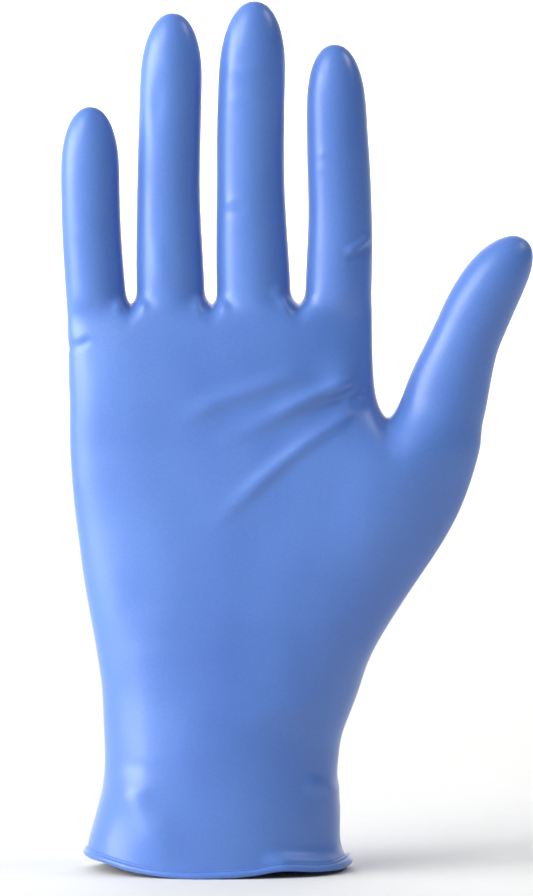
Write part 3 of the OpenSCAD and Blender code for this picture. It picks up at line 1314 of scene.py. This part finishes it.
@dataclass(frozen=True)
class SoftLight:
    """Soft light: where it stands, its width and height, its watts and what it faces."""

    name: str
    place: Place
    size: tuple[float, float]
    power: float
    aim: Place

    def build(self) -> bpy.types.Object:
        """Make the light.

        Returns:
            The light.
        """
        lamp = bpy.data.lights.new(self.name, "AREA")
        lamp.shape = "RECTANGLE"
        lamp.size, lamp.size_y = self.size
        lamp.energy = self.power
        light = bpy.data.objects.new(self.name, lamp)
        light.location = self.place
        way = Vector(self.aim) - Vector(self.place)
        light.rotation_euler = way.to_track_quat("-Z", "Y").to_euler()
        bpy.context.scene.collection.objects.link(light)
        return light


@dataclass
class Stage:
    """Pale floor that curves up behind the glove, soft studio lights and the camera.

    Lengths are in metres, apart from the camera's lens and sensor in millimetres.
    The elevation is the camera's, in degrees. The levels are how bright the
    surround is at the left and the right, and the reach is how much of the way
    across it takes to change from one to the other.
    """

    target: Place = (0.0134, 0.0, 0.1168)
    distance: float = 2.5
    elevation: float = 4.1
    lens: float = 242.6
    sensor_height: float = 24.0
    half_width: float = 6.0
    floor_front: float = -6.0
    floor_back: float = 3.5
    curve: float = 1.5
    wall_height: float = 4.0
    wall_aim: Place = (0.0, 5.2, 1.0)
    left_level: float = 0.92
    right_level: float = 0.08
    level_reach: float = 0.9
    paper: PaperFinish = PaperFinish()

    def build(self) -> None:
        """Make the floor, the lights and the camera."""
        bpy.context.scene.view_settings.view_transform = "Standard"
        lights = (
            SoftLight("key", place=(-1.3, -1.0, 1.2), size=(1.1, 1.1), power=21.2,
                      aim=self.target),
            SoftLight("strip", place=(-1.66, -0.4, 0.45), size=(1.1, 1.0), power=31.0,
                      aim=self.target),
            SoftLight("right", place=(1.05, -0.1, 1.15), size=(0.45, 0.45), power=4.5,
                      aim=self.target),
            SoftLight("back", place=(0.0, 3.0, 3.2), size=(5.0, 1.5), power=400.0,
                      aim=self.wall_aim),
        )
        self._surround()
        self._floor()
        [light.build() for light in lights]
        self._camera()

    def _surround(self) -> None:
        """Light the studio from all round, brightest from the left."""
        world = bpy.data.worlds.new("studio")
        world.use_nodes = True
        nodes, links = world.node_tree.nodes, world.node_tree.links
        way = nodes.new("ShaderNodeSeparateXYZ")
        links.new(nodes.new("ShaderNodeTexCoord").outputs["Generated"], way.inputs["Vector"])
        level = nodes.new("ShaderNodeMapRange")
        level.interpolation_type = "SMOOTHSTEP"
        level.inputs["From Min"].default_value = self.level_reach
        level.inputs["From Max"].default_value = -self.level_reach
        level.inputs["To Min"].default_value = self.right_level
        level.inputs["To Max"].default_value = self.left_level
        links.new(way.outputs["X"], level.inputs["Value"])
        links.new(level.outputs["Result"], nodes["Background"].inputs["Strength"])
        nodes["Background"].inputs["Color"].default_value = (1, 1, 1, 1)
        bpy.context.scene.world = world

    def _floor(self) -> bpy.types.Object:
        """Sweep the floor and its curved back across the stage.

        Returns:
            The floor.
        """
        profile = [(self.floor_front, 0.0)]
        for turn in np.radians(np.arange(0, 91, 5)):
            profile.append((self.floor_back + self.curve * math.sin(turn),
                            self.curve * (1 - math.cos(turn))))
        profile.append((self.floor_back + self.curve, self.wall_height))
        points = [(side * self.half_width, y, z) for y, z in profile for side in (-1, 1)]
        quads = [(2 * k, 2 * k + 1, 2 * k + 3, 2 * k + 2) for k in range(len(profile) - 1)]
        mesh = bpy.data.meshes.new("floor")
        mesh.from_pydata(points, [], quads)
        mesh.shade_smooth()
        mesh.materials.append(self.paper.build())
        floor = bpy.data.objects.new("floor", mesh)
        bpy.context.scene.collection.objects.link(floor)
        return floor

    def _camera(self) -> bpy.types.Object:
        """Add the camera, a little above the glove's middle.

        Returns:
            The camera.
        """
        lens = bpy.data.cameras.new("camera")
        lens.sensor_fit = "VERTICAL"
        lens.sensor_height = self.sensor_height
        lens.lens = self.lens
        camera = bpy.data.objects.new("camera", lens)
        rise = math.radians(self.elevation)
        back = Vector((0, -math.cos(rise), math.sin(rise)))
        camera.location = Vector(self.target) + back * self.distance
        camera.rotation_euler = (-back).to_track_quat("-Z", "Y").to_euler()
        bpy.context.scene.collection.objects.link(camera)
        bpy.context.scene.camera = camera
        return camera


# ---- The glove's own sizes ----


def hand_sections() -> tuple[Section, ...]:
    """List the sections of the cuff, the wrist and the palm.

    Returns:
        The sections, from the mouth up to the thumb's crotch.
    """
    return (
        Section(1.1, -36.5, 35.9, 25.0, 25.0),
        Section(3.1, -36.1, 34.7, 24.9, 24.9),
        Section(6.7, -35.6, 33.8, 24.7, 24.7),
        Section(12.7, -34.5, 33.8, 24.5, 24.5),
        Section(18.7, -33.0, 33.8, 24.2, 24.2),
        Section(24.8, -31.7, 33.0, 23.8, 23.8),
        Section(30.8, -31.3, 33.4, 23.4, 23.4),
        Section(36.8, -31.5, 34.1, 23.0, 23.0),
        Section(42.9, -31.8, 36.2, 22.4, 22.4),
        Section(49.9, -32.1, 38.8, 21.6, 21.6),
        Section(58.0, -33.2, 41.6, 20.8, 20.8),
        Section(66.0, -34.6, 45.9, 20.0, 20.0),
        Section(74.1, -36.0, 51.0, 19.2, 19.2),
        Section(82.1, -37.3, 56.3, 18.4, 18.4),
        Section(90.2, -38.5, 61.6, 17.6, 17.6),
        Section(98.2, -39.6, 66.2, 16.8, 16.8),
        Section(106.3, -40.3, 69.6, 16.2, 16.2),
        Section(113.3, -40.7, 71.6, 15.7, 15.7),
        Section(117.3, -40.9, 72.6, 15.2, 15.2),
    )


def knuckle_sections() -> tuple[Section, ...]:
    """List the sections between the thumb's crotch and the finger webs.

    Returns:
        The sections, from the lowest.
    """
    return (
        Section(129.4, -41.0, 43.9, 14.3, 14.6),
        Section(136.4, -41.3, 43.0, 13.5, 13.9),
        Section(143.5, -41.4, 42.7, 12.4, 12.9),
        Section(149.0, -41.5, 42.6, 11.2, 11.7),
        Section(153.4, -41.6, 42.6, 10.0, 10.5),
    )


def rim_waves() -> tuple[tuple[float, float], ...]:
    """List how far the rim is off the floor round the mouth.

    Returns:
        Angles in degrees, each with its height.
    """
    return (
        (0, 1.8), (8, 1.2), (16, 0.3), (26, 0.0), (138, 0.0), (148, 0.6), (156, 1.8), (167, 3.0),
        (180, 4.0), (204, 3.6), (214, 3.2), (223, 2.4), (234, 1.3), (246, 0.5), (262, 0.0),
        (284, 0.7), (292, 1.6), (297, 1.9), (304, 1.7), (314, 1.1), (322, 0.8), (330, 0.9),
        (338, 1.3), (350, 1.7),
    )


def stalls() -> tuple[Stall, ...]:
    """List the fingers and the thumb.

    Returns:
        The five stalls, from the little finger.
    """
    return (
        Stall(
            "little",
            line=((-33.6, 0, 158.6), (-34.8, 0, 176.7), (-35.2, 0, 194.8), (-35.1, 0, 211.1)),
            widths=(8.3, 8.15, 8.15),
            depths=(7.5, 7.0, 6.8),
            cuts=(11.2, 29),
            zones=((0, 11), (11.2, 27.8), (30, 43)),
            first_angle=30,
        ),
        Stall(
            "ring",
            line=((-13.0, 0, 158.6), (-13.6, 0, 184.7), (-13.1, 0, 209.9), (-12.3, 0, 236.9)),
            widths=(9.45, 8.65, 8.6),
            depths=(8.4, 7.7, 7.4),
            cuts=(14, 40),
            zones=((0, 12.5), (16, 36), (43.5, 57.5)),
        ),
        Stall(
            "middle",
            line=((9.9, 0, 158.6), (9.1, 0, 184.7), (9.1, 0, 209.9), (10.3, 0, 240.2)),
            widths=(10.25, 9.35, 9.25),
            depths=(8.7, 8.0, 7.7),
            cuts=(14.5, 42),
            zones=((0, 12.5), (17, 37), (46, 60)),
        ),
        Stall(
            "index",
            line=((33.2, 0, 158.6), (33.7, 0, 179.7), (33.0, 0, 201.8), (32.0, 0, 228.3)),
            widths=(9.2, 8.75, 8.25),
            depths=(8.4, 7.7, 7.4),
            cuts=(13.5, 36.5),
            zones=((0, 12.5), (14, 34), (39, 53)),
        ),
        Stall(
            "thumb",
            line=((61.6, 0, 126.6), (64.6, 0, 136.5), (69.2, 0, 149.1), (75.6, 0, 162.1),
                  (84.7, 0, 174.6)),
            widths=(11.8, 9.45, 8.95),
            depths=(8.8, 8.5, 8.4),
            cuts=(16,),
            zones=((0, 13), (19, 37)),
            root_spacing=CROTCH_SPACING,
        ),
    )


def marks() -> list[Mark]:
    """List what makes the film uneven, in the order in which it is shaped.

    Returns:
        The folds, swells and slack.
    """
    return [
        *palm_marks(),
        *cuff_marks(),
        *back_marks(),
        *finger_marks(),
        Slack(height=0.10, length=(38, 50, 17), low=12, high=118, seed=3),
        Slack(height=0.05, length=(14, 20, 26), low=30, high=150, seed=8),
    ]


def palm_marks() -> list[Mark]:
    """List the folds that fan out from the thumb's crotch over the palm.

    Returns:
        The folds, and the swells about them.
    """
    return [
        # Heel of the thumb
        Swell(at=(46.0, 100.0), reach=(15.0, 18.0), height=2.0),
        # Lower two of the long folds, and the groove between them by the crotch
        Fold(((-4.0, 94.0), (10.8, 107.7), (21.6, 116.8), (29.9, 122.6), (38.7, 127.9)),
             height=1.05, width=3.0, end_width=1.6, steep=0.7, fade_in=0.3, fade_out=0.15),
        Fold(((-3.0, 117.2), (14.4, 125.6), (24.3, 130.6), (32.1, 133.9), (39.9, 136.3)),
             height=1.5, width=3.0, end_width=1.7, steep=0.6, fade_in=0.4, fade_out=0.25),
        Fold(((24.0, 126.6), (33.2, 130.4), (41.2, 132.6)),
             height=-0.7, width=1.6, end_width=1.1, fade_in=0.6, fade_out=0.1),
        # Upper long fold
        Fold(((-12.0, 124.5), (-2.6, 128.9), (5.3, 131.9), (15.5, 135.4), (27.0, 138.5)),
             height=0.9, width=3.2, end_width=2.6, steep=0.6, fade_in=0.3, fade_out=0.3),
        # Short ridge by the crotch, and the fullness above and below it
        Fold(((33.7, 130.0), (37.7, 131.4), (41.2, 128.6)), height=0.6, width=1.2),
        Swell(at=(34.5, 137.5), reach=(5.0, 5.0), height=1.3),
        Swell(at=(49.3, 116.3), reach=(6.5, 9.0), height=0.3),
        # Broad ridge down from the thumb, and the hollow beside it
        Fold(((65.5, 138.0), (60.0, 123.0), (56.0, 111.0), (52.0, 98.0)),
             height=1.7, width=8.5, end_width=11.0, fade_in=0.5, fade_out=0.6),
        Swell(at=(48.5, 123.5), reach=(5.0, 8.5), height=-1.2),
        # Crease below the little finger, round the edge of the hand
        Fold(((-43.0, 143.7), (-38.0, 145.5), (-33.5, 148.5)),
             height=-0.3, width=1.1, side=None, fade_in=0.1),
        Swell(at=(-37.7, 148.0), reach=(3.2, 1.7), height=0.4),
    ]


def cuff_marks() -> list[Mark]:
    """List the folds and wrinkles of the cuff and the wrist.

    Returns:
        The folds and a swell.
    """
    return [
        # Slanting fold on the little finger's side, with a bulge at its upper end
        Fold(((-26.0, 30.0), (-22.0, 20.5), (-17.0, 11.5), (-11.0, 1.5)),
             height=1.3, width=5.5, end_width=6.5, fade_in=0.3, fade_out=0.4),
        Swell(at=(-23.0, 22.5), reach=(3.8, 4.4), height=0.35),
        # Fold along the rim at the thumb's end
        Fold(((35.0, 2.6), (28.0, 3.4), (20.0, 4.4), (11.0, 5.6)),
             height=1.8, width=2.4, end_width=1.9, steep=0.9, fade_in=0.3, fade_out=0.3),
        # Short ridge round the thumb's side
        Fold(((23.0, 26.0), (29.0, 24.0), (34.5, 20.5)),
             height=0.7, width=2.2, side=None, fade_out=0.3),
        # Wrinkles across the wrist
        Fold(((-30.0, 69.0), (-10.0, 71.5), (12.0, 69.5), (26.0, 65.0)), height=0.16, width=2.8),
        Fold(((-28.0, 60.5), (-10.0, 62.0), (8.0, 63.0)), height=0.12, width=2.6),
        Fold(((-26.0, 32.0), (-12.0, 33.5), (6.0, 32.0)), height=0.14, width=2.6),
        Fold(((5.0, 44.0), (20.0, 46.5), (36.0, 51.0)), height=0.35, width=3.0),
    ]


def back_marks() -> list[Mark]:
    """List the folds on the back of the glove.

    Returns:
        The folds.
    """
    # Left, middle and right of the crease over each finger's knuckle, and its height
    creases = ((-42.0, -36.0, -29.0, 178.0), (-21.0, -13.5, -6.0, 185.0),
               (1.0, 9.0, 17.0, 188.0), (26.0, 33.5, 41.0, 182.0))
    back = Side.BACK
    return [
        # Back of the hand
        Fold(((-24.0, 118.0), (-6.0, 126.0), (12.0, 129.0), (30.0, 126.0)),
             height=0.8, width=3.4, side=back, steep=0.7),
        Fold(((40.0, 116.0), (28.0, 108.0), (18.0, 98.0)),
             height=0.9, width=3.0, side=back, steep=0.7),
        # Wrist and cuff
        Fold(((-27.0, 66.0), (-8.0, 70.0), (14.0, 69.0), (30.0, 64.0)),
             height=0.5, width=2.8, side=back),
        Fold(((-24.0, 27.0), (-6.0, 29.0), (12.0, 27.0)), height=0.35, width=2.6, side=back),
        Fold(((20.0, 22.0), (17.0, 12.0), (16.0, 3.0)), height=0.6, width=3.6, side=back),
        *(Fold(((left, z), (middle, z + 1), (right, z)), height=0.3, width=1.4, side=back)
          for left, middle, right, z in creases),
    ]


def finger_marks() -> list[Mark]:
    """List the creases where the fingers would bend, and the dents of the empty film.

    Returns:
        The folds and swells.
    """
    # Place across and up the hand of the small bulge beside each web, and how tall it is
    bulges = ((-20.5, 156.5, 1.6), (-27.3, 156.5, 1.6), (-5.5, 157.0, 1.8), (1.6, 156.3, 1.6))
    return [
        # Middle finger
        Fold(((-1.0, 184.6), (6.0, 185.8), (12.0, 184.8), (19.5, 185.6)),
             height=0.2, width=1.1, fade_in=0.2, fade_out=0.1),
        Fold(((-1.0, 183.0), (4.0, 182.0), (9.0, 183.6)), height=-0.18, width=1.0),
        Fold(((1.0, 212.0), (9.0, 214.0), (18.0, 211.5)), height=0.15, width=1.4),
        Fold(((1.0, 222.0), (7.0, 220.5), (14.0, 222.5)), height=0.25, width=1.4),
        # Index finger
        Fold(((34.5, 171.0), (38.5, 172.8), (43.5, 177.3)),
             height=0.8, width=1.1, fade_in=0.3, fade_out=0.35),
        Fold(((35.0, 168.8), (39.0, 170.5), (43.0, 174.0)), height=-0.6, width=1.1),
        Fold(((25.0, 197.5), (33.0, 198.8), (41.5, 197.0)), height=0.22, width=1.3),
        Fold(((25.5, 193.5), (31.0, 194.5), (37.0, 192.5)), height=0.14, width=1.5),
        # Ring finger
        Swell(at=(-16.5, 212.0), reach=(2.0, 6.0), height=-0.35),
        Swell(at=(-13.0, 222.0), reach=(3.5, 2.5), height=0.25),
        Fold(((-14.8, 160.0), (-16.0, 168.0), (-16.8, 178.0)), height=0.22, width=2.0, fade_in=0.4),
        # Webs
        *(Swell(at=(x, z), reach=(1.4, tall), height=0.6) for x, z, tall in bulges),
        Fold(((15.2, 162.5), (17.6, 158.3), (20.3, 154.0)), height=0.8, width=1.4),
        # Little finger
        Fold(((-41.0, 176.0), (-36.0, 177.2), (-30.0, 176.5)), height=0.15, width=1.3),
    ]


def main() -> None:
    """Build the glove and its stage."""
    logging.basicConfig(level=logging.INFO, format="%(message)s")
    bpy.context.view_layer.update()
    glove = Glove(
        hand=Hand(
            sections=hand_sections(),
            knuckles=knuckle_sections(),
            webs=(-24.1, -1.7, 22.3),
            web_top=156.9,
            crotch_x=46.9,
            crotch_top=125.0,
            cuff_top=38.0,
            wrist_top=72.0,
        ),
        rim=Rim(rim_waves()),
        stalls=stalls(),
        marks=marks(),
        film_finish=NitrileFinish("nitrile_film", (0.069, 0.163, 0.505), (0.09, 0.202, 0.565)),
        rim_finish=NitrileFinish("nitrile_rim", (0.065, 0.16, 0.51), (0.09, 0.21, 0.60)),
    )
    glove.build()
    Stage().build()


if __name__ == "__main__":
    main()
